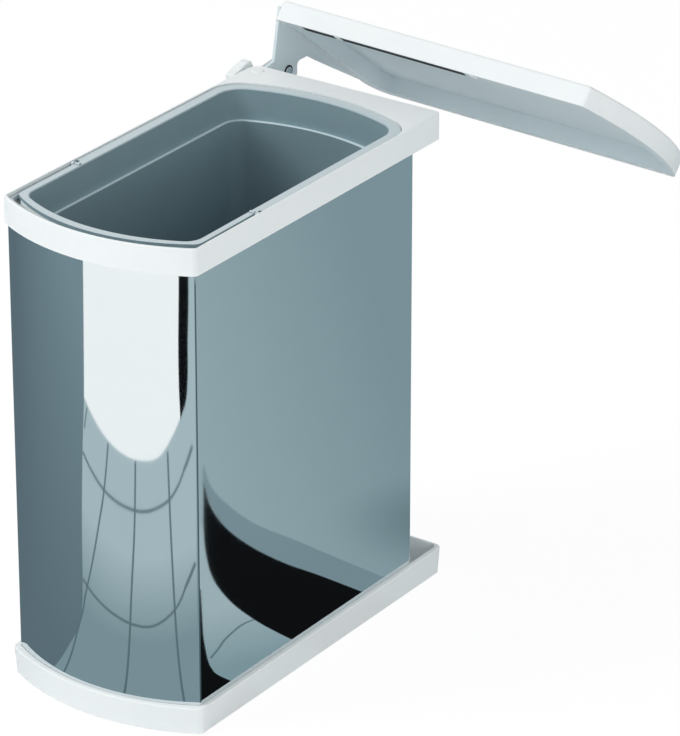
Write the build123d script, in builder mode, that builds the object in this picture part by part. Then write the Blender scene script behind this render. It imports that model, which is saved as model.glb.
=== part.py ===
"""Swing-out kitchen bin for a base cabinet, with a lid that stays in the cabinet and tips as the bin turns.

Millimetres, +Z up. The origin is the centre of the four screw holes in the wall rail's back face,
+X points away from the cabinet wall, and the bin turns about the upright axis at x = wall_gap.
At rest the bin stands swung out of the cabinet, turned by open_yaw from square to the wall.
"""
from build123d import *
from math import cos, radians, sin, sqrt
import os

os.makedirs("parts", exist_ok=True)

# Driving dimensions of the bin
frame_width = 205
frame_reach = 372
bow_rise = 27
frame_high = 462.7
frame_low = frame_high - 25
tray_width = 209
tray_reach = 378
tray_height = 26.3
casing_width = 199
casing_front = 1.4
casing_rear = 332.5
rear_rise = 17
sheet = 0.8
opening_width = 179
opening_front = 16.1
opening_front_rise = 24.6
opening_rear = 315.5
opening_rear_rise = 19.5
bucket_low = 13.4

# Driving dimensions of the mounting and the swing
pivot_inset = 12
wall_gap = 24
open_yaw = 3.5
bolt_height = 224
rail_width = 44
rail_thickness = 3
pin_radius = 4

# Driving dimensions of the lid
lid_length = 346
lid_width = 189
lid_rise = 24.5
lid_depth = 19.7
lid_tilt = 38.2
lid_left = 9.5
lid_near = 42.5
lid_edge_height = frame_high + 34.3
lid_pin_y = 62
lid_pin_height = frame_high - 23.1

# Gaps and walls shared by several pieces
running_gap = 0.05
plastic = 2.2

# The bin's own plane: x across the bin, y from the bow's chord to the rear, z up from the tray's underside
across = Vector(cos(radians(open_yaw)), sin(radians(open_yaw)), 0)
along = Vector(-sin(radians(open_yaw)), cos(radians(open_yaw)), 0)
axis_x = pivot_inset - frame_width / 2
axis_y = frame_reach - pivot_inset
bin_origin = Vector(wall_gap, 0, -bolt_height) - across * axis_x - along * axis_y
ground = Plane(origin=bin_origin, x_dir=across, z_dir=(0, 0, 1))

# The wall's plane, with the same heights, and the lid's plane along its skirt's lower edge
wall = Plane(origin=(0, 0, -bolt_height), x_dir=(1, 0, 0), z_dir=(0, 0, 1))
lid_up = Vector(0, sin(radians(lid_tilt)), cos(radians(lid_tilt)))
lid_base = Plane(origin=(lid_left, lid_near, lid_edge_height - bolt_height), x_dir=(1, 0, 0), z_dir=lid_up)


def side_plane(x):
    """Upright plane square to X, whose sketch x is the row's Y and sketch y is height above the tray."""
    return Plane(origin=(x, 0, -bolt_height), x_dir=(0, 1, 0), z_dir=(1, 0, 0))


def rim_plane(x):
    """The same upright plane, with its heights measured from the top of the frame."""
    return Plane(origin=(x, 0, frame_high - bolt_height), x_dir=(0, 1, 0), z_dir=(1, 0, 0))


def bowed(start, end, rise):
    """Side of an outline, straight or bulging outwards by rise, for an outline drawn anticlockwise."""
    if rise:
        SagittaArc(start, end, -rise)
    else:
        Line(start, end)


def bin_plan(width, front, rear, front_rise, back_rise, front_radius, rear_radius):
    """Plan outline of a bin piece: bowed front at the bottom, then right side, rear and left side."""
    half = width / 2
    with BuildSketch() as plan:
        with BuildLine():
            bowed((-half, front), (half, front), front_rise)
            Line((half, front), (half, rear))
            bowed((half, rear), (-half, rear), back_rise)
            Line((-half, rear), (-half, front))
        make_face()
        middle = (front + rear) / 2
        fillet(plan.vertices().filter_by(lambda v: v.Y < middle), front_radius)
        fillet(plan.vertices().filter_by(lambda v: v.Y > rear - 1), rear_radius)
    return plan.sketch


def opening_plan(grow, draft=0):
    """Outline parallel to the bucket's opening, grow further out and drawn in by draft."""
    step = grow - draft
    return bin_plan(
        opening_width + 2 * step, opening_front - step, opening_rear + step,
        opening_front_rise, opening_rear_rise, 16 + max(step, -6), 24 + max(step, -6),
    )


def frame_plan(inset=0):
    """Outline of the top frame, inset from its outer face, with the rear left corner round the swing axis."""
    half = frame_width / 2 - inset
    rear = frame_reach - inset
    with BuildSketch() as plan:
        with BuildLine():
            bowed((-half, inset), (half, inset), bow_rise)
            Line((half, inset), (half, rear))
            Line((half, rear), (-half, rear))
            Line((-half, rear), (-half, inset))
        make_face()
        fillet(plan.vertices().filter_by(lambda v: v.Y < rear / 2), 6 - min(inset, 4))
        fillet(plan.vertices().filter_by(lambda v: v.Y > rear / 2 and v.X < 0), pivot_inset - inset)
        fillet(plan.vertices().filter_by(lambda v: v.Y > rear - 1 and v.X > 0), 6 - min(inset, 4))
    return plan.sketch


def casing_plan(inset=0):
    """Outline of the polished casing, inset from its outer face."""
    return bin_plan(
        casing_width - 2 * inset, casing_front + inset, casing_rear - inset,
        bow_rise, rear_rise, 3 - min(inset, 1), 6 - min(inset, 1),
    )


def save(part, name):
    """Label a finished piece and write its STEP file."""
    part.part.label = name
    export_step(part.part, f"parts/{name}.step")


# Base tray: a moulded saucer whose thin lip lies against the casing, with a trough behind it
tray_floor = 3
tray_flare = 1.8
tray_forward = 3.4
rear_wall = 3
casing_foot = 5.6
arm_half = 9
lug_low = 7.2
bush_radius = 6


def tray_plan(inset):
    """Outline of the base tray, inset from its lip, with its rear left corner round the swing axis."""
    half = tray_width / 2 - inset
    rear = tray_reach - inset
    with BuildSketch() as plan:
        with BuildLine():
            bowed((-half, inset - tray_forward), (half, inset - tray_forward), bow_rise)
            Line((half, inset - tray_forward), (half, rear))
            Line((half, rear), (-half, rear))
            Line((-half, rear), (-half, inset - tray_forward))
        make_face()
        fillet(plan.vertices().filter_by(lambda v: v.Y < 100), 8 - inset)
        fillet(plan.vertices().filter_by(lambda v: v.Y > 100 and v.X > 0), 8 - inset)
        fillet(plan.vertices().filter_by(lambda v: v.Y > 100 and v.X < 0), 14 - inset)
    return plan.sketch


def well_plan():
    """Outline of the tray's hollow, close round the casing and running back to the rear wall."""
    half = casing_width / 2 + 0.2
    rear = tray_reach - rear_wall
    with BuildSketch() as plan:
        with BuildLine():
            bowed((-half, casing_front - 0.2), (half, casing_front - 0.2), bow_rise)
            Line((half, casing_front - 0.2), (half, rear))
            Line((half, rear), (-half, rear))
            Line((-half, rear), (-half, casing_front - 0.2))
        make_face()
        fillet(plan.vertices().filter_by(lambda v: v.Y < 100), 3)
        fillet(plan.vertices().filter_by(lambda v: v.Y > 100), 6)
    return plan.sketch


with BuildPart() as base_tray:
    with BuildSketch(ground):
        add(tray_plan(tray_flare))
    with BuildSketch(ground.offset(tray_height)):
        add(tray_plan(0))
    loft(ruled=True)
    fillet(base_tray.edges().group_by(Axis.Z)[-1], 1.2)
    with BuildSketch(ground.offset(tray_floor)):
        add(well_plan())
    extrude(amount=tray_height - tray_floor, mode=Mode.SUBTRACT)
    # The ledge that the casing stands on
    with BuildSketch(ground):
        add(casing_plan(-0.6))
        add(casing_plan(6), mode=Mode.SUBTRACT)
    extrude(amount=casing_foot)
    # The pivot lug in the rear left corner, and the notch under it where the fixed arm passes
    with BuildSketch(ground.offset(tray_floor)):
        with Locations((axis_x, axis_y)):
            Circle(pivot_inset)
        with Locations((axis_x, axis_y + 8)):
            Rectangle(12, 16)
    extrude(amount=tray_height - tray_floor - 2)
    with BuildSketch(ground):
        with Locations((axis_x - 6, axis_y + 6)):
            Rectangle(38, 36)
    extrude(amount=lug_low, mode=Mode.SUBTRACT)
    with BuildSketch(ground):
        with Locations((axis_x, axis_y)):
            Circle(bush_radius)
    extrude(amount=tray_height, mode=Mode.SUBTRACT)
save(base_tray, "base_tray")

# Polished casing: one sheet bent round the bow and the sides, with its ends turned in at the rear
casing_top = frame_low + 6
wrap_end = 78
back_lap = 90

with BuildPart() as steel_casing:
    with BuildSketch(ground.offset(casing_foot)):
        add(casing_plan())
        add(casing_plan(sheet), mode=Mode.SUBTRACT)
        with Locations((0, casing_rear + rear_rise)):
            Rectangle(2 * wrap_end, 60, mode=Mode.SUBTRACT)
    extrude(amount=casing_top - casing_foot)
save(steel_casing, "steel_casing")

# Back panel: a plain sheet that laps inside the turned ends of the casing
with BuildPart() as casing_back:
    with BuildSketch(ground.offset(casing_foot)):
        add(casing_plan(sheet))
        add(casing_plan(2 * sheet), mode=Mode.SUBTRACT)
        with Locations((0, casing_rear)):
            Rectangle(2 * back_lap, 40, mode=Mode.INTERSECT)
    extrude(amount=casing_top - casing_foot)
save(casing_back, "casing_back")

# Rivets through the two lapped seams of the casing, square to its curved rear
seam_x = 84
seam_heights = (44, 144, 244, 344, 418)
rear_circle = ((casing_width / 2) ** 2 + rear_rise**2) / (2 * rear_rise)
seam_y = casing_rear + rear_rise - rear_circle + sqrt(rear_circle**2 - seam_x**2)

with BuildPart() as seam_rivets:
    for side in (-1, 1):
        outwards = across * (side * seam_x) + along * sqrt(rear_circle**2 - seam_x**2)
        for height in seam_heights:
            rivet_foot = ground.from_local_coords((side * seam_x, seam_y, height))
            with Locations(Plane(origin=rivet_foot, z_dir=outwards)):
                Cylinder(2.5, 1.0, align=(Align.CENTER, Align.CENTER, Align.MIN))
save(seam_rivets, "seam_rivets")

# Top frame: a deep moulded rim with a thin land, a seat for the bucket and a groove for the bail
seat_height = frame_high - 4.8
groove_height = frame_high - 10.6
deck_low = frame_high - 3.6
land = 1.8
skirt_wall = 4
boss_radius = 10
cap_radius = 5.6
bail_y = 94
groove_end = bail_y + 7


def flange_plan(grow=0):
    """Outline of the bucket's flange over its whole length, grown all round."""
    return bin_plan(199.8 + 2 * grow, 2.6 - grow, 320 + grow, bow_rise, 26, 3.4 + grow, 30 + grow)


def front_part(sketch, end):
    """The part of a plan sketch in front of y = end."""
    with BuildSketch() as piece:
        add(sketch)
        with Locations((0, end - 150)):
            Rectangle(2 * frame_width, 300, mode=Mode.INTERSECT)
    return piece.sketch


with BuildPart() as top_frame:
    with BuildSketch(ground.offset(frame_low)):
        add(frame_plan())
    extrude(amount=frame_high - frame_low)
    fillet(top_frame.edges().group_by(Axis.Z)[-1], 1.1)
    # The opening, the seat round it and the deeper groove for the bail along the bow and the sides
    with BuildSketch(ground.offset(seat_height)):
        add(flange_plan(0.8))
    extrude(amount=frame_high - seat_height, mode=Mode.SUBTRACT)
    with BuildSketch(ground.offset(groove_height)):
        add(front_part(frame_plan(land), groove_end))
        add(opening_plan(6.3), mode=Mode.SUBTRACT)
        with Locations((0, bail_y)):
            Rectangle(frame_width - 2 * land, 14)
    extrude(amount=frame_high - groove_height, mode=Mode.SUBTRACT)
    with BuildSketch(ground.offset(frame_low)):
        add(opening_plan(3.2))
    extrude(amount=frame_high - frame_low, mode=Mode.SUBTRACT)
    # The hollow underside, round the opening and under the rear deck
    with BuildSketch(ground.offset(frame_low)):
        add(frame_plan(skirt_wall))
        add(opening_plan(5.2), mode=Mode.SUBTRACT)
    extrude(amount=groove_height - 2.4 - frame_low, mode=Mode.SUBTRACT)
    with BuildSketch(ground.offset(frame_low)):
        add(frame_plan(skirt_wall))
        add(flange_plan(3.2), mode=Mode.SUBTRACT)
        with Locations((0, frame_reach - 30)):
            Rectangle(frame_width, 60, mode=Mode.INTERSECT)
    extrude(amount=deck_low - frame_low, mode=Mode.SUBTRACT)
    # The slot that the casing's upper edge stands in
    with BuildSketch(ground.offset(frame_low)):
        add(casing_plan(-0.15))
        add(casing_plan(2 * sheet + 0.15), mode=Mode.SUBTRACT)
    extrude(amount=casing_top - frame_low + 0.2, mode=Mode.SUBTRACT)
    # The boss for the swing axis, ribs beside it, and the dish for its cap
    with BuildSketch(ground.offset(frame_low)):
        with Locations((axis_x, axis_y)):
            Circle(boss_radius)
        for rib_x in (-60, -25, 10, 45, 80):
            with Locations((rib_x, frame_reach - 9)):
                Rectangle(2, 14)
    extrude(amount=deck_low - frame_low)
    with BuildSketch(ground.offset(frame_low)):
        with Locations((axis_x, axis_y)):
            Circle(bush_radius)
    extrude(amount=15, mode=Mode.SUBTRACT)
    with BuildSketch(ground.offset(frame_high - 1.6)):
        with Locations((axis_x, axis_y)):
            Circle(cap_radius)
    extrude(amount=1.6, mode=Mode.SUBTRACT)
save(top_frame, "top_frame")

# Plain domed cap over the upper pivot
with BuildPart() as pivot_cap:
    with BuildSketch(ground.offset(frame_high - 1.6)):
        with Locations((axis_x, axis_y)):
            Circle(cap_radius)
    extrude(amount=2.4)
    fillet(pivot_cap.edges().group_by(Axis.Z)[-1], 0.7)
save(pivot_cap, "pivot_cap")


def flanged_bush(low, high):
    """Plain bearing bush on the swing axis, its flange under the piece that it is pressed into."""
    with BuildPart() as bush:
        with BuildSketch(ground.offset(low - 1.2)):
            with Locations((axis_x, axis_y)):
                Circle(bush_radius + 2)
                Circle(pin_radius + running_gap, mode=Mode.SUBTRACT)
        extrude(amount=1.2)
        with BuildSketch(ground.offset(low)):
            with Locations((axis_x, axis_y)):
                Circle(bush_radius)
                Circle(pin_radius + running_gap, mode=Mode.SUBTRACT)
        extrude(amount=high - low)
    return bush


upper_bush = flanged_bush(frame_low, frame_low + 14)
save(upper_bush, "upper_bush")
lower_bush = flanged_bush(lug_low, tray_height - 1)
save(lower_bush, "lower_bush")

# Inner bucket: a tapered moulding with a step under its upper band and a flat flange
flange_low = frame_high - 4.6
flange_high = frame_high - 1.4
step_height = frame_high - 32
band_draft = 3
step_in = 6.5
floor_in = 12
bail_height = frame_high - 2.3
eye_radius = 2.3
band_half = 96.2
bail_pin_radius = 1.3

with BuildPart() as inner_bucket:
    with BuildSketch(ground.offset(step_height)):
        add(opening_plan(plastic, band_draft))
    with BuildSketch(ground.offset(flange_high)):
        add(opening_plan(plastic))
    loft(ruled=True)
    with BuildSketch(ground.offset(bucket_low)):
        add(opening_plan(plastic, floor_in))
    with BuildSketch(ground.offset(step_height)):
        add(opening_plan(plastic, step_in))
    loft(ruled=True)
    # The flange, narrower where the bail lies beside it, with two small ears for the bail's pins
    with BuildSketch(ground.offset(flange_low)):
        add(flange_plan())
        add(front_part(flange_plan(3), groove_end), mode=Mode.SUBTRACT)
        add(bin_plan(2 * band_half, 12.6, 150, 29.8, 0, 10, 1))
    extrude(amount=flange_high - flange_low)
    for side in (-1, 1):
        ear_middle = ground.from_local_coords((side * (band_half - 2.6), bail_y, bail_height))
        with Locations(Plane(origin=ear_middle, z_dir=across)):
            Cylinder(eye_radius, 5.2)
        pin_middle = ground.from_local_coords((side * (band_half + 0.9), bail_y, bail_height))
        with Locations(Plane(origin=pin_middle, z_dir=across)):
            Cylinder(bail_pin_radius, 6, mode=Mode.SUBTRACT)
    # The hollow, drawn in under the step
    with BuildSketch(ground.offset(step_height + 2)):
        add(opening_plan(0, band_draft))
    with BuildSketch(ground.offset(flange_high)):
        add(opening_plan(0))
    loft(ruled=True, mode=Mode.SUBTRACT)
    with BuildSketch(ground.offset(bucket_low + plastic)):
        add(opening_plan(0, floor_in))
    with BuildSketch(ground.offset(step_height + 2)):
        add(opening_plan(0, step_in))
    loft(ruled=True, mode=Mode.SUBTRACT)
    with BuildSketch(ground.offset(flange_high - 0.8)):
        add(opening_plan(0))
    with BuildSketch(ground.offset(flange_high)):
        add(opening_plan(0.8))
    loft(ruled=True, mode=Mode.SUBTRACT)
save(inner_bucket, "inner_bucket")

# Pins in the flange's two ears, and the carrying bail that turns on them
bail_inset = 2.3
bail_thickness = 3
bail_low = frame_high - 6.6
bail_high = frame_high - 3.4
bail_middle = frame_width / 2 - bail_inset - bail_thickness / 2

with BuildPart() as bail_pins:
    for side in (-1, 1):
        pin_middle = ground.from_local_coords((side * (band_half + 0.9), bail_y, bail_height))
        with Locations(Plane(origin=pin_middle, z_dir=across)):
            Cylinder(bail_pin_radius, 6)
save(bail_pins, "bail_pins")

with BuildPart() as bail_handle:
    with BuildSketch(ground.offset(bail_low)):
        add(front_part(frame_plan(bail_inset), bail_y))
        add(frame_plan(bail_inset + bail_thickness), mode=Mode.SUBTRACT)
    extrude(amount=bail_high - bail_low)
    with BuildSketch(ground.offset(bail_low)):
        for side in (-1, 1):
            with Locations((side * bail_middle, bail_y)):
                Rectangle(bail_thickness, 2 * eye_radius)
    extrude(amount=bail_height - bail_low)
    for side in (-1, 1):
        eye_middle = ground.from_local_coords((side * bail_middle, bail_y, bail_height))
        with Locations(Plane(origin=eye_middle, z_dir=across)):
            Cylinder(eye_radius, bail_thickness)
            Cylinder(bail_pin_radius + running_gap, 10, mode=Mode.SUBTRACT)
save(bail_handle, "bail_handle")

# Wall rail: an upright channel with four screw holes, fixed to the cabinet's side wall
rail_low = 1
rail_high = frame_high - 13
rail_flange = 2
hole_radius = 2.4
hole_across = 24
hole_up = 320

with BuildPart() as wall_rail:
    with BuildSketch(wall.offset(rail_low)):
        with Locations((rail_thickness / 2, 0)):
            Rectangle(rail_thickness, rail_width)
        for side in (-1, 1):
            with Locations((rail_thickness + rail_flange / 2, side * (rail_width / 2 - 1))):
                Rectangle(rail_flange, 2)
    extrude(amount=rail_high - rail_low)
    with BuildSketch(side_plane(0)):
        for y in (-hole_across / 2, hole_across / 2):
            for z in (-hole_up / 2, hole_up / 2):
                with Locations((y, bolt_height + z)):
                    Circle(hole_radius)
    extrude(amount=rail_thickness, mode=Mode.SUBTRACT)
    # Rear flange cut away at the top, where the lid's bracket leaves the rail
    with BuildSketch(side_plane(rail_thickness)):
        with Locations((rail_width / 2 - 1, rail_high - 31)):
            Rectangle(4, 62)
    extrude(amount=rail_flange, mode=Mode.SUBTRACT)
save(wall_rail, "wall_rail")

# The two arms that carry the swing pins: a plate with a round end and a foot bent down or up the rail
arm_plate = 3
upper_arm_high = frame_low - 1.4
lower_arm_high = lug_low - 1.4
upper_foot = 26
lower_foot = 42


def pivot_arm(high, foot, foot_up):
    """Arm from the rail to the swing axis, with a foot of length foot turned up or down the rail."""
    low = high - arm_plate
    with BuildPart() as arm:
        with BuildSketch(wall.offset(low)):
            with Locations((wall_gap, 0)):
                Circle(arm_half)
            with Locations(((wall_gap + rail_thickness) / 2, 0)):
                Rectangle(wall_gap - rail_thickness, 2 * arm_half)
            with Locations((wall_gap, 0)):
                Circle(pin_radius, mode=Mode.SUBTRACT)
        extrude(amount=arm_plate)
        foot_middle = low + foot / 2 if foot_up else high - foot / 2
        with BuildSketch(side_plane(rail_thickness)):
            with Locations((0, foot_middle)):
                Rectangle(2 * arm_half, foot)
        extrude(amount=2.5)
    return arm


upper_arm = pivot_arm(upper_arm_high, upper_foot, False)
save(upper_arm, "upper_arm")
lower_arm = pivot_arm(lower_arm_high, lower_foot, True)
save(lower_arm, "lower_arm")

# Swing pins, headed under each arm
with BuildPart() as upper_pin:
    with BuildSketch(wall.offset(upper_arm_high - arm_plate - 2)):
        with Locations((wall_gap, 0)):
            Circle(pin_radius + 2)
    extrude(amount=2)
    with BuildSketch(wall.offset(upper_arm_high - arm_plate)):
        with Locations((wall_gap, 0)):
            Circle(pin_radius)
    extrude(amount=arm_plate + 14)
    chamfer(upper_pin.edges().group_by(Axis.Z)[-1], 0.8)
save(upper_pin, "upper_pin")

with BuildPart() as lower_pin:
    with BuildSketch(wall.offset(lower_arm_high - arm_plate - 1.2)):
        with Locations((wall_gap, 0)):
            Circle(pin_radius + 2)
    extrude(amount=1.2)
    with BuildSketch(wall.offset(lower_arm_high - arm_plate)):
        with Locations((wall_gap, 0)):
            Circle(pin_radius)
    extrude(amount=arm_plate + 15)
    chamfer(lower_pin.edges().group_by(Axis.Z)[-1], 0.8)
save(lower_pin, "lower_pin")

# Rivets through the feet of both arms
with BuildPart() as arm_rivets:
    for height in (upper_arm_high - 12, upper_arm_high - 21, lower_arm_high + 26, lower_arm_high + 34):
        with BuildSketch(side_plane(rail_thickness + 2.5)):
            with Locations((0, height)):
                Circle(3)
        extrude(amount=1.4)
save(arm_rivets, "arm_rivets")

# Lid bracket: a plate on the rail that reaches back to the lid's pin
bracket_thickness = 2.5
bracket_face = rail_thickness + bracket_thickness
stop_y = 54.6
stop_height = lid_pin_height - 17.5

with BuildPart() as lid_bracket:
    with BuildSketch(rim_plane(rail_thickness)) as bracket_side:
        with BuildLine():
            Polyline(
                (10, -71.6), (21, -71.6), (60, -49.6), (75, -35.6), (75, -11.6), (48, -7.6), (10, -13.6),
                close=True,
            )
        make_face()
        fillet(bracket_side.vertices(), 5)
        with Locations((lid_pin_y, lid_pin_height - frame_high)):
            Circle(3, mode=Mode.SUBTRACT)
    extrude(amount=bracket_thickness)
save(lid_bracket, "lid_bracket")

with BuildPart() as bracket_rivets:
    for height in (-60, -44, -28):
        with BuildSketch(rim_plane(bracket_face)):
            with Locations((16, height)):
                Circle(2.6)
        extrude(amount=1.3)
save(bracket_rivets, "bracket_rivets")

# The lid's pin with its thin head, the washer behind the lid's arm, and the rubber stop below it
arm_inner = lid_left - 3
pin_head = 1.2
with BuildPart() as lid_pin:
    with BuildSketch(side_plane(rail_thickness)):
        with Locations((lid_pin_y, lid_pin_height)):
            Circle(3)
    extrude(amount=lid_left + 0.3 - rail_thickness)
    with BuildSketch(side_plane(lid_left + 0.3)):
        with Locations((lid_pin_y, lid_pin_height)):
            Circle(4.2)
    extrude(amount=pin_head)
    fillet(lid_pin.edges().group_by(Axis.X)[-1], 0.5)
    with BuildSketch(side_plane(lid_left + pin_head)):
        with Locations((lid_pin_y, lid_pin_height)):
            Circle(1.8)
    extrude(amount=pin_head, mode=Mode.SUBTRACT)
save(lid_pin, "lid_pin")

with BuildPart() as lid_washer:
    with BuildSketch(side_plane(bracket_face)):
        with Locations((lid_pin_y, lid_pin_height)):
            Circle(6.5)
            Circle(3 + running_gap, mode=Mode.SUBTRACT)
    extrude(amount=arm_inner - bracket_face - 0.1)
save(lid_washer, "lid_washer")

with BuildPart() as lid_stop:
    with BuildSketch(side_plane(bracket_face)):
        with Locations((stop_y, stop_height)):
            Circle(3.5)
    extrude(amount=5)
    fillet(lid_stop.edges().group_by(Axis.X)[-1], 1)
save(lid_stop, "lid_stop")

# Cover block that closes the top of the rail
with BuildPart() as rail_cover:
    with BuildSketch(rim_plane(0)) as cover_side:
        with BuildLine():
            Polyline((-17, -12.4), (12, -12.4), (12, -2.4), (9, 3.2), (3, 3.2), (-17, -3.6), close=True)
        make_face()
        fillet(cover_side.vertices().filter_by(lambda v: v.Y > -8), 1.4)
    extrude(amount=9)
    fillet(rail_cover.faces().sort_by(Axis.X)[-1].edges().filter_by(lambda e: e.center().Z > 228), 1)
save(rail_cover, "rail_cover")

# Lid: a white shell with a skirt all round, its outer end bowed like the frame
lid_top = 1.9
near_corner = 4
far_corner = 22
bow_corner = 5


def lid_plan(inset, far_grow=0):
    """Outline of the lid in its own plane, x along its near edge and y down its slope."""
    with BuildSketch() as plan:
        low = inset
        high = lid_width - inset + far_grow
        with BuildLine():
            Line((low, low), (lid_length, low))
            SagittaArc((lid_length, low), (lid_length, high), inset - lid_rise)
            Line((lid_length, high), (low, high))
            Line((low, high), (low, low))
        make_face()
        fillet(plan.vertices().filter_by(lambda v: v.X < 100 and v.Y < 100), near_corner - min(inset, 3))
        fillet(plan.vertices().filter_by(lambda v: v.X < 100 and v.Y > high - 1), far_corner - inset)
        fillet(plan.vertices().filter_by(lambda v: v.X > lid_length - 1), bow_corner - min(inset, 3))
    return plan.sketch


with BuildPart() as lid_shell:
    with BuildSketch(lid_base):
        add(lid_plan(0))
    extrude(amount=lid_depth)
    lid_crown = lid_shell.faces().filter_by(lambda f: f.normal_at().dot(lid_up) > 0.99)
    fillet(lid_crown.edges(), 3)
    with BuildSketch(lid_base):
        add(lid_plan(plastic))
    extrude(amount=lid_depth - lid_top, mode=Mode.SUBTRACT)
save(lid_shell, "lid_shell")

# Liner: a grey tray inside the shell, dished so that the bin's corner passes under it
liner_gap = 0.2
liner_low = 0.6
liner_wall = 1.1
dish_inset = 13
dish_far = 5
dish_depth = lid_depth - lid_top - liner_gap
slot_start = 30
slot_end = 212
bridge_start = 67
bridge_end = 74
slot_middle = 7.1
slot_width = 8.8

with BuildPart() as lid_liner:
    with BuildSketch(lid_base.offset(liner_low)):
        add(lid_plan(plastic + liner_gap))
    extrude(amount=1.6)
    with BuildSketch(lid_base.offset(liner_low)):
        add(lid_plan(dish_inset - liner_wall, dish_far))
    extrude(amount=dish_depth - liner_low)
    with BuildSketch(lid_base):
        add(lid_plan(dish_inset, dish_far))
    extrude(amount=dish_depth - liner_wall, mode=Mode.SUBTRACT)
    # Two slots along the near edge, either side of a bridge
    with BuildSketch(lid_base):
        with Locations(((slot_start + bridge_start) / 2, slot_middle)):
            Rectangle(bridge_start - slot_start, slot_width)
        with Locations(((bridge_end + slot_end) / 2, slot_middle)):
            Rectangle(slot_end - bridge_end, slot_width)
    extrude(amount=4, mode=Mode.SUBTRACT)
save(lid_liner, "lid_liner")


def lid_point(down, up):
    """Row Y and height over the frame of a point down the lid's slope and up from its skirt's lower edge."""
    slope = radians(lid_tilt)
    return (
        lid_near + down * cos(slope) + up * sin(slope),
        lid_edge_height - frame_high - down * sin(slope) + up * cos(slope),
    )


# Lid arm: a cheek screwed to the lid's left end, with a foot above the frame and a tail on the stop
with BuildPart() as lid_arm:
    with BuildSketch(rim_plane(arm_inner)) as cheek:
        with BuildLine():
            Polyline(
                lid_point(1, 13), lid_point(160, 13), lid_point(166, 1), (103.8, -25.6), (91, -17.1),
                (75.5, -17.6), (75.5, -31.6), (64.5, -35.1), (64.5, -43.6), (58.6, -43.6), (58.6, -35.1),
                (50, -30.6), (41.8, -20.1), (29.6, -13.6), (29.2, -10.1), (41.8, -7.6), close=True,
            )
        make_face()
        fillet(cheek.vertices().filter_by(lambda v: 74 < v.X < 76), 5)
        fillet(cheek.vertices().filter_by(lambda v: 90.5 < v.X < 92), 6)
        fillet(cheek.vertices().filter_by(lambda v: 103 < v.X < 105), 20)
        with Locations((lid_pin_y, lid_pin_height - frame_high)):
            Circle(3 + running_gap, mode=Mode.SUBTRACT)
    extrude(amount=lid_left - arm_inner)
save(lid_arm, "lid_arm")

# Screws through the arm into the lid's end wall
with BuildPart() as lid_screws:
    for down in (14, 75, 136):
        with BuildSketch(rim_plane(arm_inner - 1.6)):
            with Locations(lid_point(down, 7)):
                Circle(3)
        extrude(amount=1.6)
save(lid_screws, "lid_screws")

# Two dark buffer strips in the liner's slots, just inside the shell's near edge
with BuildPart() as buffer_strips:
    with BuildSketch(lid_base):
        with Locations(((slot_start + bridge_start) / 2, slot_middle)):
            Rectangle(bridge_start - slot_start - 0.2, slot_width - 0.2)
        with Locations(((bridge_end + slot_end) / 2, slot_middle)):
            Rectangle(slot_end - bridge_end - 0.2, slot_width - 0.2)
    extrude(amount=2.4)
save(buffer_strips, "buffer_strips")

# Small catches that hold the liner in the shell along its near edge
with BuildPart() as liner_catches:
    for catch_x in ((bridge_start + bridge_end) / 2, slot_end + 11):
        with BuildSketch(lid_base.offset(liner_low - 1.2)):
            with Locations((catch_x, plastic + 4.2)):
                Rectangle(5, 7.6)
        extrude(amount=1.2)
save(liner_catches, "liner_catches")
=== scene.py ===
# %% [markdown]
# Swing-out cabinet bin
#
# A narrow bin that turns out of a kitchen base cabinet. A bowed sheet of polished steel wraps a dark
# bucket, a white moulded rim and a white tray close it at the top and bottom, and a white lid stays in
# the cabinet and tips up as the bin turns out. This notebook dresses the measured model: it gives each
# moulding and each sheet its finish, with painted top light and a painted highlight in the bucket's,
# adds a dark ring of painted shade, shaped as a spring clip, on the lid's pin, and sets up a plain studio.

import bpy
import math
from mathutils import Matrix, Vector


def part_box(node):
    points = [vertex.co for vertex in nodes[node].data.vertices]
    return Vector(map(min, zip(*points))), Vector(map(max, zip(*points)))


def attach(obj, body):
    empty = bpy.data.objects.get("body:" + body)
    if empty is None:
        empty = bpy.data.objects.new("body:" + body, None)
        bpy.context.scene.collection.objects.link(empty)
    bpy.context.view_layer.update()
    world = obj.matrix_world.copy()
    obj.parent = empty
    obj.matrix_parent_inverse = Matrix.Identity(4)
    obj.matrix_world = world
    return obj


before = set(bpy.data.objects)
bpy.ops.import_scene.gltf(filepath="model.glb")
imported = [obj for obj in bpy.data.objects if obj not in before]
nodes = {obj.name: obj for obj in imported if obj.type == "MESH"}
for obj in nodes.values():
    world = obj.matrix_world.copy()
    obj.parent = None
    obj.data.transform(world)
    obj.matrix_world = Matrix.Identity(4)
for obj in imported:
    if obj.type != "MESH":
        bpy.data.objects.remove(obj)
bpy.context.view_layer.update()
print("pieces in the measured model:", len(nodes))

# %% [markdown]
# The measured model is in metres, and its height 0 is the middle of the wall rail. Heights on the bin are
# easier to think of from the tray's underside, so one level gives that. Colours are easier to read off a
# screen, from 0 to 255, and a shader wants them linear, so one helper turns them.

# %% Tray level and colours
tray_level = -0.224


def linear(red, green, blue):
    """A colour read off a screen, 0 to 255, as the linear colour that a shader wants."""
    values = []
    for channel in (red, green, blue):
        share = channel / 255
        values.append(share / 12.92 if share <= 0.04045 else ((share + 0.055) / 1.055) ** 2.4)
    return (*values, 1)


print("tray's underside at", tray_level, "m")
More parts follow.
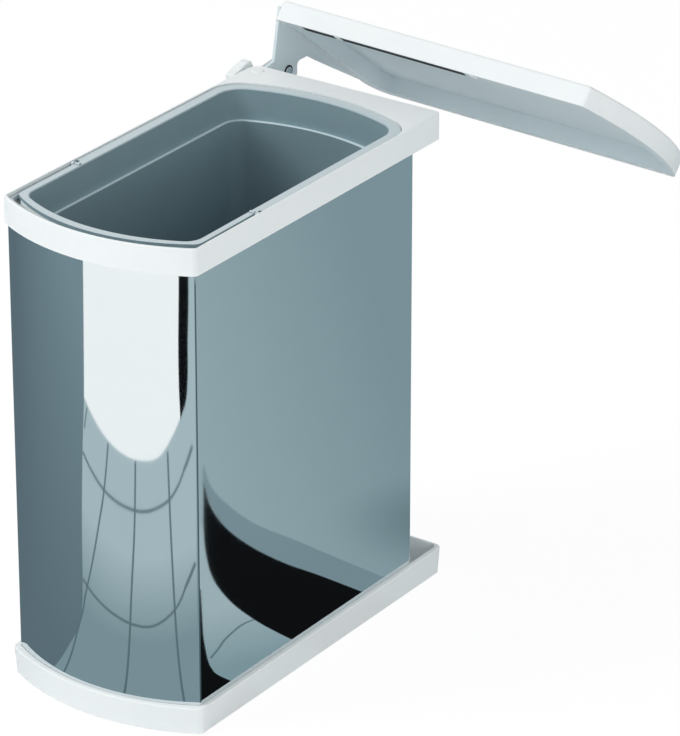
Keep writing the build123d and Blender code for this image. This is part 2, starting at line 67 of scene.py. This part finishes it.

# %% [markdown]
# Moulded plastic is never perfectly even. Its surface has a fine grain from the mould, its wall sinks a
# little over long distances, and its colour drifts by a percent or two. The same group also paints light:
# faces that point up are made paler, as painted top light for the light they catch from above, and a thin
# band at the height of the bucket's step is made nearly white, as a painted highlight. These could be
# painted for each piece. One node group makes them all instead, and each plastic uses it with its own
# values, so that the mouldings belong together. First come the small helpers that build nodes.

# %% Node helpers
def group_with(name, inputs, outputs):
    """A new shader node group with its input and output sockets."""
    group = bpy.data.node_groups.new(name, "ShaderNodeTree")
    for label, kind, value in inputs:
        socket = group.interface.new_socket(label, in_out="INPUT", socket_type=kind)
        socket.default_value = value
    for label, kind in outputs:
        group.interface.new_socket(label, in_out="OUTPUT", socket_type=kind)
    return group


def noise(tree, vector, scale, detail, rough=0.5):
    """A noise texture node of one size."""
    node = tree.nodes.new("ShaderNodeTexNoise")
    node.inputs["Scale"].default_value = scale
    node.inputs["Detail"].default_value = detail
    node.inputs["Roughness"].default_value = rough
    tree.links.new(vector, node.inputs["Vector"])
    return node


def bump(tree, height, strength, distance, normal=None):
    """A bump node, on top of another normal where one is given."""
    node = tree.nodes.new("ShaderNodeBump")
    node.inputs["Distance"].default_value = distance
    tree.links.new(height, node.inputs["Height"])
    if isinstance(strength, float):
        node.inputs["Strength"].default_value = strength
    else:
        tree.links.new(strength, node.inputs["Strength"])
    if normal is not None:
        tree.links.new(normal, node.inputs["Normal"])
    return node


def ranged(tree, value, low, high, span=(0.0, 1.0)):
    """Turns a value within a span, 0 to 1 unless one is given, into low to high."""
    node = tree.nodes.new("ShaderNodeMapRange")
    tree.links.new(value, node.inputs["Value"])
    node.inputs["From Min"].default_value, node.inputs["From Max"].default_value = span
    for label, end in (("To Min", low), ("To Max", high)):
        if isinstance(end, (int, float)):
            node.inputs[label].default_value = end
        else:
            tree.links.new(end, node.inputs[label])
    return node.outputs["Result"]


def mixed(tree, share, first, second):
    """Mixes two colours, each a socket or a colour of its own, by a share from 0 to 1."""
    node = tree.nodes.new("ShaderNodeMix")
    node.data_type = "RGBA"
    tree.links.new(share, node.inputs[0])
    for socket, colour in ((node.inputs[6], first), (node.inputs[7], second)):
        if isinstance(colour, tuple):
            socket.default_value = colour
        else:
            tree.links.new(colour, socket)
    return node.outputs[2]


# %% Node group: moulded surface
surface_outputs = [
    ("Colour", "NodeSocketColor"),
    ("Roughness", "NodeSocketFloat"),
    ("Normal", "NodeSocketVector"),
]
moulded = group_with(
    "Moulded surface",
    [
        ("Colour", "NodeSocketColor", (0.8, 0.8, 0.8, 1)),
        ("Drift colour", "NodeSocketColor", (0.7, 0.7, 0.7, 1)),
        ("Grain size", "NodeSocketFloat", 900.0),
        ("Grain", "NodeSocketFloat", 0.15),
        ("Gloss low", "NodeSocketFloat", 0.3),
        ("Gloss high", "NodeSocketFloat", 0.45),
        ("Painted top light colour", "NodeSocketColor", (0.8, 0.8, 0.8, 1)),
        ("Painted top light", "NodeSocketFloat", 0.0),
    ],
    surface_outputs,
)
start = moulded.nodes.new("NodeGroupInput")
end = moulded.nodes.new("NodeGroupOutput")
place = moulded.nodes.new("ShaderNodeTexCoord")
sink = noise(moulded, place.outputs["Object"], scale=9.0, detail=2.0)
drift = noise(moulded, place.outputs["Object"], scale=26.0, detail=4.0, rough=0.6)
grain = noise(moulded, place.outputs["Object"], scale=900.0, detail=2.0)
moulded.links.new(start.outputs["Grain size"], grain.inputs["Scale"])
drifted = mixed(moulded, drift.outputs["Fac"], start.outputs["Colour"], start.outputs["Drift colour"])
gloss = ranged(moulded, drift.outputs["Fac"], start.outputs["Gloss low"], start.outputs["Gloss high"])
moulded.links.new(gloss, end.inputs["Roughness"])
sunk = bump(moulded, sink.outputs["Fac"], strength=0.12, distance=0.002)
grained = bump(
    moulded, grain.outputs["Fac"], start.outputs["Grain"], distance=0.0003, normal=sunk.outputs["Normal"]
)
moulded.links.new(grained.outputs["Normal"], end.inputs["Normal"])
print("node group:", moulded.name)

# %% Painted top light on ledges and rims, and a painted highlight on the bucket's step
step_level = tray_level + 0.433
step_reach = 0.006
# Painted top light: faces that point up are mixed towards the paler colour, by how far they face up.
facing = moulded.nodes.new("ShaderNodeSeparateXYZ")
moulded.links.new(place.outputs["Normal"], facing.inputs["Vector"])
facing_up = ranged(moulded, facing.outputs["Z"], 0.0, start.outputs["Painted top light"], span=(0.45, 0.95))
height = moulded.nodes.new("ShaderNodeSeparateXYZ")
moulded.links.new(place.outputs["Object"], height.inputs["Vector"])
# Painted highlight: a thin band at the step's height is made nearly white.
at_step = moulded.nodes.new("ShaderNodeMath")
at_step.operation = "COMPARE"
at_step.inputs[1].default_value = step_level
at_step.inputs[2].default_value = step_reach
moulded.links.new(height.outputs["Z"], at_step.inputs[0])
top_light_and_step_highlight = mixed(moulded, at_step.outputs["Value"], start.outputs["Painted top light colour"], linear(234, 250, 255))
moulded.links.new(mixed(moulded, facing_up, drifted, top_light_and_step_highlight), end.inputs["Colour"])
print("the bucket's step at", round(step_level, 4), "m")

# %% [markdown]
# Sheet steel shows its making too. A polished sheet keeps a slow waviness that bends what it mirrors, and
# wiping leaves faint smears in its gloss. Plated brackets have a cloudy, slightly mottled skin. The same
# group serves both: the casing takes little wave, so that its reflections stay clean, and hardly any
# mottle, and the brackets take more of both.

# %% Node group: sheet metal
sheet_metal = group_with(
    "Sheet metal",
    [
        ("Colour", "NodeSocketColor", (0.6, 0.6, 0.6, 1)),
        ("Mottle colour", "NodeSocketColor", (0.5, 0.5, 0.5, 1)),
        ("Mottle size", "NodeSocketFloat", 60.0),
        ("Wave", "NodeSocketFloat", 0.1),
        ("Gloss low", "NodeSocketFloat", 0.03),
        ("Gloss high", "NodeSocketFloat", 0.07),
    ],
    surface_outputs,
)
start = sheet_metal.nodes.new("NodeGroupInput")
end = sheet_metal.nodes.new("NodeGroupOutput")
place = sheet_metal.nodes.new("ShaderNodeTexCoord")
wave = noise(sheet_metal, place.outputs["Object"], scale=7.0, detail=1.0)
mottle = noise(sheet_metal, place.outputs["Object"], scale=60.0, detail=5.0, rough=0.65)
sheet_metal.links.new(start.outputs["Mottle size"], mottle.inputs["Scale"])
mottled = mixed(sheet_metal, mottle.outputs["Fac"], start.outputs["Colour"], start.outputs["Mottle colour"])
sheet_metal.links.new(mottled, end.inputs["Colour"])
gloss = ranged(sheet_metal, mottle.outputs["Fac"], start.outputs["Gloss low"], start.outputs["Gloss high"])
sheet_metal.links.new(gloss, end.inputs["Roughness"])
waved = bump(sheet_metal, wave.outputs["Fac"], start.outputs["Wave"], distance=0.002)
sheet_metal.links.new(waved.outputs["Normal"], end.inputs["Normal"])
print("node group:", sheet_metal.name)

# %% [markdown]
# A finish is a Principled shader fed by one of the two groups. The shader stays in the material and only
# colour, roughness and normal come out of the group, so that every finish can be read at a glance and
# baked for other programs. The measured pieces are dressed by name.

# %% Finishes from a group
def finish_from(name, group, values, metallic=0.0):
    """A material whose shader is fed by a node group with its own values."""
    material = bpy.data.materials.new(name)
    material.use_nodes = True
    tree = material.node_tree
    shader = tree.nodes["Principled BSDF"]
    shader.inputs["Metallic"].default_value = metallic
    surface = tree.nodes.new("ShaderNodeGroup")
    surface.node_tree = group
    for label, value in values.items():
        surface.inputs[label].default_value = value
    tree.links.new(surface.outputs["Colour"], shader.inputs["Base Color"])
    tree.links.new(surface.outputs["Roughness"], shader.inputs["Roughness"])
    tree.links.new(surface.outputs["Normal"], shader.inputs["Normal"])
    return material


def dress(material, *names):
    """Gives measured pieces one finish."""
    for name in names:
        slots = nodes[name].data.materials
        slots.clear()
        slots.append(material)
    print(material.name + ":", ", ".join(names))


# %% [markdown]
# The rim, the tray and the lid's shell are one bright white plastic, with a fine grain and a soft shine.
# Pure white would clip in the light and lose its edges, so the white is written a little below full.

# %% White mouldings
white = finish_from(
    "White moulding",
    moulded,
    {
        "Colour": linear(240, 243, 243),
        "Drift colour": linear(233, 238, 239),
        "Grain size": 1400.0,
        "Grain": 0.1,
        "Gloss low": 0.34,
        "Gloss high": 0.46,
    },
)
dress(white, "top_frame", "base_tray", "lid_shell", "rail_cover", "pivot_cap", "liner_catches")

# %% [markdown]
# The lid's liner and its side arm are a cool grey-white with less shine. Against the white shell they look
# grey only because they face down and away from the light, so their colour is kept pale.

# %% Lid liner and arm
liner_grey = finish_from(
    "Grey liner moulding",
    moulded,
    {
        "Colour": linear(220, 232, 236),
        "Drift colour": linear(214, 226, 230),
        "Grain size": 1100.0,
        "Grain": 0.2,
        "Gloss low": 0.42,
        "Gloss high": 0.55,
    },
)
dress(liner_grey, "lid_liner", "lid_arm")

# %% [markdown]
# The bucket is slate with a coarser grain. Its flange and the step inside its mouth are painted much paler
# than its walls, as painted top light, and the step gets a nearly white painted highlight line, which is
# what shows the step from above. The bail that lies on the flange is a paler grey of the same kind.

# %% Bucket and bail
bucket_slate = finish_from(
    "Slate bucket moulding",
    moulded,
    {
        "Colour": linear(134, 157, 165),
        "Drift colour": linear(127, 150, 158),
        "Grain size": 800.0,
        "Grain": 0.3,
        "Gloss low": 0.4,
        "Gloss high": 0.5,
        # painted top light: faces that point up, the flange and the step, are made this pale
        "Painted top light colour": linear(204, 216, 220),
        "Painted top light": 0.85,
    },
)
dress(bucket_slate, "inner_bucket")
bail_grey = finish_from(
    "Bail moulding",
    moulded,
    {
        "Colour": linear(196, 208, 212),
        "Drift colour": linear(188, 201, 206),
        "Grain size": 1100.0,
        "Grain": 0.15,
        "Gloss low": 0.36,
        "Gloss high": 0.46,
    },
)
dress(bail_grey, "bail_handle")

# %% [markdown]
# The bushes that the bin turns on are a smooth, creamy bearing plastic. The stop, the washer and the two
# strips that cushion the lid are black rubber, which is rough enough to show no highlight. The washer's
# black is partly painted shade too: it darkens the ring round the lid's pin.

# %% Bushes and rubber
bearing_plastic = finish_from(
    "Bearing plastic",
    moulded,
    {
        "Colour": linear(226, 222, 208),
        "Drift colour": linear(218, 213, 198),
        "Grain size": 1600.0,
        "Grain": 0.1,
        "Gloss low": 0.4,
        "Gloss high": 0.5,
    },
)
dress(bearing_plastic, "upper_bush", "lower_bush")
stop_rubber = finish_from(
    "Stop rubber",
    moulded,
    {
        "Colour": linear(34, 35, 37),
        "Drift colour": linear(44, 45, 47),
        "Grain size": 1200.0,
        "Grain": 0.4,
        "Gloss low": 0.7,
        "Gloss high": 0.85,
    },
)
# the washer's black is partly painted shade, darkening the ring round the lid's pin
dress(stop_rubber, "lid_stop", "buffer_strips", "lid_washer")

# %% [markdown]
# The casing is stainless sheet polished to a mirror. A mirror could be roughness 0, but wiped steel keeps a
# faint haze, so its roughness wanders between 0.02 and 0.05. Its colour is kept by name, because the
# studio's cards need it later to show through the steel as they should.

# %% Polished casing
casing_colour = (226, 233, 236)
polished = finish_from(
    "Polished casing steel",
    sheet_metal,
    {
        "Colour": linear(*casing_colour),
        "Mottle colour": linear(222, 230, 233),
        "Mottle size": 30.0,
        "Wave": 0.02,
        "Gloss low": 0.02,
        "Gloss high": 0.05,
    },
    metallic=1.0,
)
dress(polished, "steel_casing")

# %% [markdown]
# Where the cabinet hides it the steel is plainer. The rail, the pivot arms, the bracket and the casing's
# back are plated and cloudy, and the turned pins and rivets are a little brighter and finer.

# %% Plated and turned steel
plated = finish_from(
    "Plated bracket steel",
    sheet_metal,
    {
        "Colour": linear(196, 202, 206),
        "Mottle colour": linear(170, 177, 182),
        "Mottle size": 90.0,
        "Wave": 0.1,
        "Gloss low": 0.28,
        "Gloss high": 0.45,
    },
    metallic=1.0,
)
dress(plated, "wall_rail", "upper_arm", "lower_arm", "lid_bracket", "casing_back")
bright = finish_from(
    "Turned bright steel",
    sheet_metal,
    {
        "Colour": linear(214, 218, 221),
        "Mottle colour": linear(200, 205, 209),
        "Mottle size": 300.0,
        "Wave": 0.1,
        "Gloss low": 0.18,
        "Gloss high": 0.3,
    },
    metallic=1.0,
)
dress(bright, "upper_pin", "lower_pin", "lid_pin", "bail_pins")
dress(bright, "arm_rivets", "bracket_rivets", "seam_rivets", "lid_screws")

# %% [markdown]
# A pin that a lever turns on is kept in place by a spring clip: a flat ring with a gap, snapped round the
# pin's end. Here the ring is made nearly black as painted shade: it stands for the shadow in the hole
# round the pin's head, which shows as a dark ring round a bright dot. A torus would be round in section
# and closed, so a small rectangle is drawn at one end of the ring and spun round the pin's axis, short of
# a full turn, which leaves the gap. A bevel takes the punched edges off.

# %% Size of the clip
pin_low, pin_high = (Vector(corner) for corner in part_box("lid_pin"))
pin_y = (pin_low.y + pin_high.y) / 2
pin_z = (pin_low.z + pin_high.z) / 2
arm_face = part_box("lid_arm")[1][0]
clip_play = 0.00005
clip_width = 0.0015
clip_thick = 0.0008
clip_gap = 0.0001
clip_inner = (pin_high.z - pin_low.z) / 2 + clip_play
clip_middle = clip_inner + clip_width / 2
print("clip across:", round((clip_inner + clip_width) * 2000, 2), "mm")

# %% Spring clip on the lid's pin
bpy.ops.object.select_all(action="DESELECT")
bpy.ops.mesh.primitive_plane_add(
    size=1,
    location=(arm_face + clip_gap + clip_thick / 2, pin_y, pin_z - clip_middle),
    rotation=(math.radians(90), 0, 0),
)
clip = bpy.context.object
clip.name = "pin_clip_painted_shade"
clip.scale = (clip_thick, clip_width, 1)
bpy.ops.object.transform_apply(location=True, rotation=True, scale=True)
bpy.ops.object.mode_set(mode="EDIT")
bpy.ops.mesh.select_all(action="SELECT")
bpy.ops.mesh.spin(steps=40, angle=math.radians(310), center=(0, pin_y, pin_z), axis=(1, 0, 0))
bpy.ops.mesh.select_all(action="SELECT")
bpy.ops.mesh.remove_doubles(threshold=0.000001)
bpy.ops.mesh.normals_make_consistent(inside=False)
bpy.ops.object.mode_set(mode="OBJECT")
print("clip faces before the bevel:", len(clip.data.polygons))

# %% Bevel and finish of the clip
punched = clip.modifiers.new("Punched edges", "BEVEL")
punched.width = 0.00015
punched.segments = 2
punched.limit_method = "ANGLE"
bpy.ops.object.modifier_apply(modifier=punched.name)
bpy.ops.object.shade_smooth_by_angle(angle=math.radians(35))
# Painted shade: the ring's near-black colour stands for the shadow in the hole round the pin's head.
painted_shade_black = finish_from(
    "Dark ring steel, painted shade",
    sheet_metal,
    {
        "Colour": linear(44, 46, 48),
        "Mottle colour": linear(30, 31, 33),
        "Mottle size": 400.0,
        "Wave": 0.1,
        "Gloss low": 0.35,
        "Gloss high": 0.5,
    },
    metallic=0.6,
)
clip.data.materials.append(painted_shade_black)
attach(clip, "bracket")
print("clip faces after the bevel:", len(clip.data.polygons))

# %% [markdown]
# The camera looks at the bin the way a catalogue does: from far away through a long lens, turned 38
# degrees round from the front and 25 degrees down. A near camera would splay the upright edges, and a long
# lens keeps them nearly parallel. The lens is written as the picture's own measure: how many picture dots
# away the lens stands from a picture 736 dots high.

# %% Camera
lens_dots = 4896.7
picture_dots = 736
camera_turn = 38.111
camera_dip = 25.073
camera_data = bpy.data.cameras.new("Catalogue camera")
camera_data.sensor_width = 36
camera_data.lens = lens_dots / picture_dots * camera_data.sensor_width
camera_data.clip_end = 50
camera = bpy.data.objects.new("Catalogue camera", camera_data)
bpy.context.collection.objects.link(camera)
camera.location = (2.6480, -3.2240, 1.8841)
camera.rotation_euler = (math.radians(90 - camera_dip), 0, math.radians(camera_turn))
bpy.context.scene.camera = camera
print("lens:", round(camera_data.lens, 1), "mm")

# %% [markdown]
# The floor is matt and pale. Seen by the camera it is lifted almost to white, as a catalogue background
# is, and it still keeps the bin's soft shadow. More lamp light would whiten it too, but it would wash the
# white mouldings out, so the floor's own paint does it, for camera rays alone.

# %% Floor
def blended(tree, share, first, second):
    """Blends two shaders by a share from 0 to 1."""
    node = tree.nodes.new("ShaderNodeMixShader")
    for value, socket in zip((share, first, second), node.inputs):
        tree.links.new(value, socket)
    return node.outputs["Shader"]


floor_gap = 0.0008
seen_share = 0.9
bpy.ops.object.select_all(action="DESELECT")
bpy.ops.mesh.primitive_plane_add(size=14, location=(0, 0, tray_level - floor_gap))
floor = bpy.context.object
floor.name = "studio_floor"
floor_paint = bpy.data.materials.new("Studio floor")
floor_paint.use_nodes = True
tree = floor_paint.node_tree
matt = tree.nodes["Principled BSDF"]
matt.inputs["Base Color"].default_value = (0.93, 0.93, 0.93, 1)
matt.inputs["Roughness"].default_value = 1
matt.inputs["Specular IOR Level"].default_value = 0
glow = tree.nodes.new("ShaderNodeEmission")
glow.inputs["Strength"].default_value = 1.03
eye = tree.nodes.new("ShaderNodeLightPath")
share = tree.nodes.new("ShaderNodeMath")
share.operation = "MULTIPLY"
share.inputs[1].default_value = seen_share
tree.links.new(eye.outputs["Is Camera Ray"], share.inputs[0])
lifted = blended(tree, share.outputs["Value"], matt.outputs["BSDF"], glow.outputs["Emission"])
tree.links.new(lifted, tree.nodes["Material Output"].inputs["Surface"])
floor.data.materials.append(floor_paint)
print("floor at", round(floor.location.z, 4), "m")

# %% [markdown]
# The sky is the softest lamp of all. It is white to the camera and to reflections, so that the background
# and the steel show a white studio, and it gives the bin only half as much light, which leaves room for
# the lamps to shape it.

# %% World
world = bpy.data.worlds.new("Studio")
bpy.context.scene.world = world
world.use_nodes = True
tree = world.node_tree
sky = tree.nodes["Background"]
sky.inputs["Color"].default_value = (0.96, 0.99, 1, 1)
sky.inputs["Strength"].default_value = 0.5
white_sky = tree.nodes.new("ShaderNodeBackground")
white_sky.inputs["Color"].default_value = (1, 1, 1, 1)
eye = tree.nodes.new("ShaderNodeLightPath")
either = tree.nodes.new("ShaderNodeMath")
either.operation = "MAXIMUM"
tree.links.new(eye.outputs["Is Camera Ray"], either.inputs[0])
tree.links.new(eye.outputs["Is Glossy Ray"], either.inputs[1])
studio_sky = blended(
    tree, either.outputs["Value"], sky.outputs["Background"], white_sky.outputs["Background"]
)
tree.links.new(studio_sky, tree.nodes["World Output"].inputs["Surface"])
print("sky strength", sky.inputs["Strength"].default_value)

# %% [markdown]
# Three large square lamps do the rest. The key lamp stands high at the front left and makes the bowed
# front the brightest face. A low one at the front right reaches the lid's underside, and a weak one at the
# side keeps the right-hand faces from going grey. They are hidden from reflections, so that no bright
# square shows in the steel.

# %% Lamps
def soft_lamp(name, place, aim, size, watts):
    """A large square area lamp that points at one place."""
    data = bpy.data.lights.new(name, "AREA")
    data.energy = watts
    data.size = size
    lamp = bpy.data.objects.new(name, data)
    bpy.context.collection.objects.link(lamp)
    lamp.location = place
    lamp.rotation_mode = "QUATERNION"
    lamp.rotation_quaternion = (Vector(aim) - Vector(place)).to_track_quat("-Z", "Y")
    lamp.visible_glossy = False
    print(name, watts, "W")


bin_middle = (0.13, -0.1, 0.0)
soft_lamp("Key lamp", (-1.6, -2.2, 2.6), bin_middle, size=1.6, watts=70)
soft_lamp("Low lamp", (2.5, -2.3, 0.25), bin_middle, size=1.4, watts=19)
soft_lamp("Side lamp", (2.9, -0.3, 1.3), bin_middle, size=1.4, watts=12)

# %% [markdown]
# A mirror has no look of its own: polished steel shows the studio. The bowed sheet faces the floor in
# front of the bin and the flat side faces the floor beside it, so cards lie there: slate and grey for the
# floor, a white sweep further out, black flags, and thin dark joints between floor tiles. Painted on the
# steel, they would turn with the bin and show in any light. Only reflections see the cards. They neither
# light the bin nor show in the picture by themselves. Their places are written from the middle of the
# front of the bin as it stands turned out, x across it and y towards its rear, in millimetres. The axis
# that the bin swings on is 90.5 mm to the left of that middle and 360 mm behind it.

# %% Places on the floor
swing_x = 0.024
open_yaw = math.radians(3.5)
axis_across = 90.5
axis_back = 360


def floor_place(x, y):
    """A place on the floor, from millimetres in the bin's own directions to metres in the model's."""
    out = (x + axis_across) / 1000
    back = (y - axis_back) / 1000
    return (
        swing_x + out * math.cos(open_yaw) - back * math.sin(open_yaw),
        out * math.sin(open_yaw) + back * math.cos(open_yaw),
    )


print("middle of the bin's front:", [round(value, 3) for value in floor_place(0, 0)])

# %% [markdown]
# A card glows a little, so that it looks the same in the steel wherever the lamps stand. Steel takes some
# of the light away, so each colour is divided by the steel's own before it is used. A card may fade from
# one colour to another, as a floor does towards the back of a studio. Edges that curve in the steel are
# given as a few places, and a smooth run is led through them.

# %% Card helpers
def mirror_light(red, green, blue):
    """The light that a card gives so that the steel shows it as this screen colour."""
    seen = linear(red, green, blue)
    steel = linear(*casing_colour)
    return tuple(a / b for a, b in zip(seen[:3], steel[:3])) + (1,)


def card_paint(name, first, last, start, stop):
    """Glowing paint that fades from one colour to another between two floor places."""
    paint = bpy.data.materials.new(name)
    paint.use_nodes = True
    tree = paint.node_tree
    tree.nodes.remove(tree.nodes["Principled BSDF"])
    glow = tree.nodes.new("ShaderNodeEmission")
    place = tree.nodes.new("ShaderNodeTexCoord")
    along = tree.nodes.new("ShaderNodeVectorMath")
    along.operation = "DOT_PRODUCT"
    begin = Vector((*floor_place(*start), 0))
    run = Vector((*floor_place(*stop), 0)) - begin
    along.inputs[1].default_value = run / run.length_squared
    tree.links.new(place.outputs["Object"], along.inputs[0])
    begin_value = begin.dot(run) / run.length_squared
    fade = ranged(tree, along.outputs["Value"], 0.0, 1.0, span=(begin_value, begin_value + 1))
    colour = mixed(tree, fade, mirror_light(*first), mirror_light(*last))
    tree.links.new(colour, glow.inputs["Color"])
    tree.links.new(glow.outputs["Emission"], tree.nodes["Material Output"].inputs["Surface"])
    return paint


def bend(points, steps=6):
    """More places along a run, so that it bends smoothly through the given ones."""
    run = []
    for index in range(len(points) - 1):
        before = Vector(points[max(index - 1, 0)])
        here = Vector(points[index])
        there = Vector(points[index + 1])
        after = Vector(points[min(index + 2, len(points) - 1)])
        for step in range(steps):
            t = step / steps
            pull = (there - before) * t
            pull += (2 * before - 5 * here + 4 * there - after) * t**2
            pull += (3 * here - before - 3 * there + after) * t**3
            run.append(tuple(here + pull / 2))
    return run + [tuple(points[-1])]


def lay_card(name, outline, layer, paint):
    """A flat card that only reflections see, one layer above the floor for each that lies under it."""
    height = tray_level - 0.0007 + 0.0001 * layer
    mesh = bpy.data.meshes.new(name)
    corners = [(*floor_place(x, y), height) for x, y in outline]
    mesh.from_pydata(corners, [], [range(len(corners))])
    mesh.materials.append(paint)
    card = bpy.data.objects.new(name, mesh)
    bpy.context.collection.objects.link(card)
    card.visible_camera = False
    card.visible_diffuse = False
    card.visible_shadow = False
    card.visible_transmission = False
    print(name, "on layer", layer)


# %% Cards for the floor in front and at the side
far = 3500
side_grey = card_paint("Side floor", (144, 166, 173), (121, 144, 152), (430, 440), (260, 590))
lay_card(
    "card_side",
    [(60, -60), (far, -60), (far, far), (-far, far), (-far, 300), (60, 300)],
    0,
    side_grey,
)
slate_fade = card_paint("Slate floor", (87, 106, 115), (112, 135, 143), (-300, 20), (-300, -700))
lay_card(
    "card_slate",
    [(-far, 300), (-far, -far), (far, -far), (far, -60), (60, -60), (60, 300)],
    0,
    slate_fade,
)
near_fade = card_paint("Near floor", (119, 142, 150), (162, 183, 189), (0, -170), (0, -340))
near_left = bend([(-86, -20), (-112, -87), (-137, -165), (-252, -307), (-340, -432), (-400, -541)])
near_right = [(262, -700), (700, -1700), (1500, -1700), (1500, -60), (115, -20)]
lay_card("card_near", near_left + near_right, 1, near_fade)

# %% White sweep and black flag in front
white_sweep = card_paint("White sweep", (234, 241, 243), (236, 242, 244), (0, -600), (0, -1000))
white_near = bend([(-400, -541), (-200, -541), (21, -547), (115, -556), (198, -587), (262, -616)])
white_far = [(420, -1100), (760, -2000), (-1400, -2000), (-584, -821)]
lay_card("card_white", white_near + white_far, 2, white_sweep)
black = card_paint("Black flag", (11, 13, 15), (13, 15, 17), (0, 0), (0, 100))
flag_inner = bend([(262, -613), (278, -697), (305, -792), (361, -942), (450, -1180)])
flag_outer = bend([(500, -1172), (418, -922), (359, -775), (331, -699), (304, -645), (282, -624)])
lay_card("card_black_front", flag_inner + flag_outer, 3, black)

# %% Grey cards beside the bin
side_near = card_paint("Side floor, near", (122, 147, 155), (154, 175, 181), (130, 150), (225, 200))
side_outline = [(100, 60), (100, 195), (190, 215), (340, 330), (250, 190), (160, 60)]
lay_card("card_side_near", side_outline, 1, side_near)
dim_band = card_paint("Dim band", (114, 136, 145), (118, 140, 148), (200, 340), (300, 340))
dim_rear = bend(
    [(413, 436), (377, 399), (339, 375), (293, 357), (242, 351), (187, 343), (130, 336), (100, 333)]
)
dim_front = [(100, 290), (200, 295), (300, 318), (385, 396)]
lay_card("card_band", dim_rear + dim_front, 2, dim_band)
corner_shade = card_paint("Corner shade", (64, 83, 90), (72, 92, 99), (99, 2), (900, 2))
lay_card("card_corner_line", [(99, 2), (1065, -257), (1065, 261), (781, 733)], 0.5, corner_shade)

# %% Black cards beside the bin
black_upper = bend(
    [(388, 402), (353, 365), (315, 336), (272, 317), (227, 307), (185, 305), (128, 300), (100, 299)]
)
black_lower = bend(
    [
        (100, 183), (126, 186), (153, 191), (183, 199), (221, 215),
        (259, 241), (293, 276), (329, 321), (361, 365),
    ]
)
lay_card("card_black_side", black_upper + black_lower, 3, black)
black_corner = bend(
    [
        (259, 220), (228, 180), (205, 150), (189, 131), (173, 113),
        (161, 102), (149, 95), (127, 92), (100, 90),
    ]
)
lay_card("card_black_corner", black_corner + [(100, 0), (130, 20), (262, 206)], 3, black)

# %% [markdown]
# Towards the rear foot the steel's side darkens softly, as it does beside a cupboard. A card with a hard
# edge can't give that, so this one is clear at its edge and half dark at its middle, by how far each place
# lies from that middle.

# %% Soft shade at the bin's rear foot
shade_radius = 0.12
shade_share = 0.5
shade = bpy.data.materials.new("Soft shade")
shade.use_nodes = True
tree = shade.node_tree
tree.nodes.remove(tree.nodes["Principled BSDF"])
dark = tree.nodes.new("ShaderNodeEmission")
dark.inputs["Color"].default_value = mirror_light(66, 88, 96)
clear = tree.nodes.new("ShaderNodeBsdfTransparent")
place = tree.nodes.new("ShaderNodeTexCoord")
reach = tree.nodes.new("ShaderNodeVectorMath")
reach.operation = "DISTANCE"
reach.inputs[1].default_value = (*floor_place(150, 464), tray_level)
tree.links.new(place.outputs["Object"], reach.inputs[0])
fall = ranged(tree, reach.outputs["Value"], shade_share, 0.0, span=(0.0, shade_radius))
fall.node.interpolation_type = "SMOOTHSTEP"
soft = blended(tree, fall, clear.outputs["BSDF"], dark.outputs["Emission"])
tree.links.new(soft, tree.nodes["Material Output"].inputs["Surface"])
lay_card("card_shade", [(100, 300), (300, 300), (300, 600), (100, 600)], 5, shade)

# %% [markdown]
# The floor in front is tiled, and its joints are what make the bowed steel read as bowed: straight joints
# bend into arcs there. Each joint is a thin card along a run of floor places. The steel shows the floor
# smaller the further away it is, so a joint widens with its distance to look equally thin all along.

# %% Joints between the floor tiles
joint_grey = card_paint("Tile joint", (84, 106, 112), (100, 122, 128), (0, -60), (0, -560))
widest_at = 560


def lay_joint(name, points, width, far_width):
    """A thin dark joint that follows a run of floor places and widens away from the bin."""
    run = bend(points)
    left, right = [], []
    for index, (x, y) in enumerate(run):
        before = run[max(index - 1, 0)]
        after = run[min(index + 1, len(run) - 1)]
        step = math.hypot(after[0] - before[0], after[1] - before[1])
        half = (width + (far_width - width) * min(abs(y) / widest_at, 1)) / 2
        side_x = -(after[1] - before[1]) / step * half
        side_y = (after[0] - before[0]) / step * half
        left.append((x + side_x, y + side_y))
        right.append((x - side_x, y - side_y))
    lay_card(name, left + right[::-1], 4, joint_grey)


# %% Joints that run away from the bin
away = {
    "joint_a": [
        (-200, -536), (-184, -424), (-175, -329), (-152, -212), (-134, -167), (-116, -120), (-71, -40),
    ],
    "joint_b": [(-27, -541), (-17, -408), (-11, -294), (-1, -205), (24, -40)],
    "joint_c": [(165, -560), (152, -443), (138, -323), (126, -229), (98, -30)],
}
for name, points in away.items():
    lay_joint(name, points, width=2.5, far_width=11)

# %% Joints that run across
across = {
    "joint_far": [
        (-337, -430), (-185, -428), (-55, -433), (18, -436),
        (89, -444), (164, -458), (235, -492), (290, -540),
    ],
    "joint_near": [
        (-174, -215), (-99, -211), (-36, -207), (2, -204), (52, -204),
        (92, -215), (133, -234), (164, -258), (208, -303),
    ],
}
for name, points in across.items():
    lay_joint(name, points, width=3, far_width=9)
lay_joint("joint_left", [(-367, -536), (-366, -521), (-363, -502), (-357, -482)], width=2.5, far_width=9)
side_run = [(183, 199), (186, 186), (185, 169), (182, 151), (177, 135), (172, 116)]
lay_joint("joint_side", side_run, width=1.6, far_width=3)

# %% [markdown]
# The picture is shown as it is rendered, with the plain Standard view, so that a colour read off the screen
# is the colour that was written. The clip lies inside the model's outline.

# %% Picture settings
bpy.context.scene.view_settings.view_transform = "Standard"
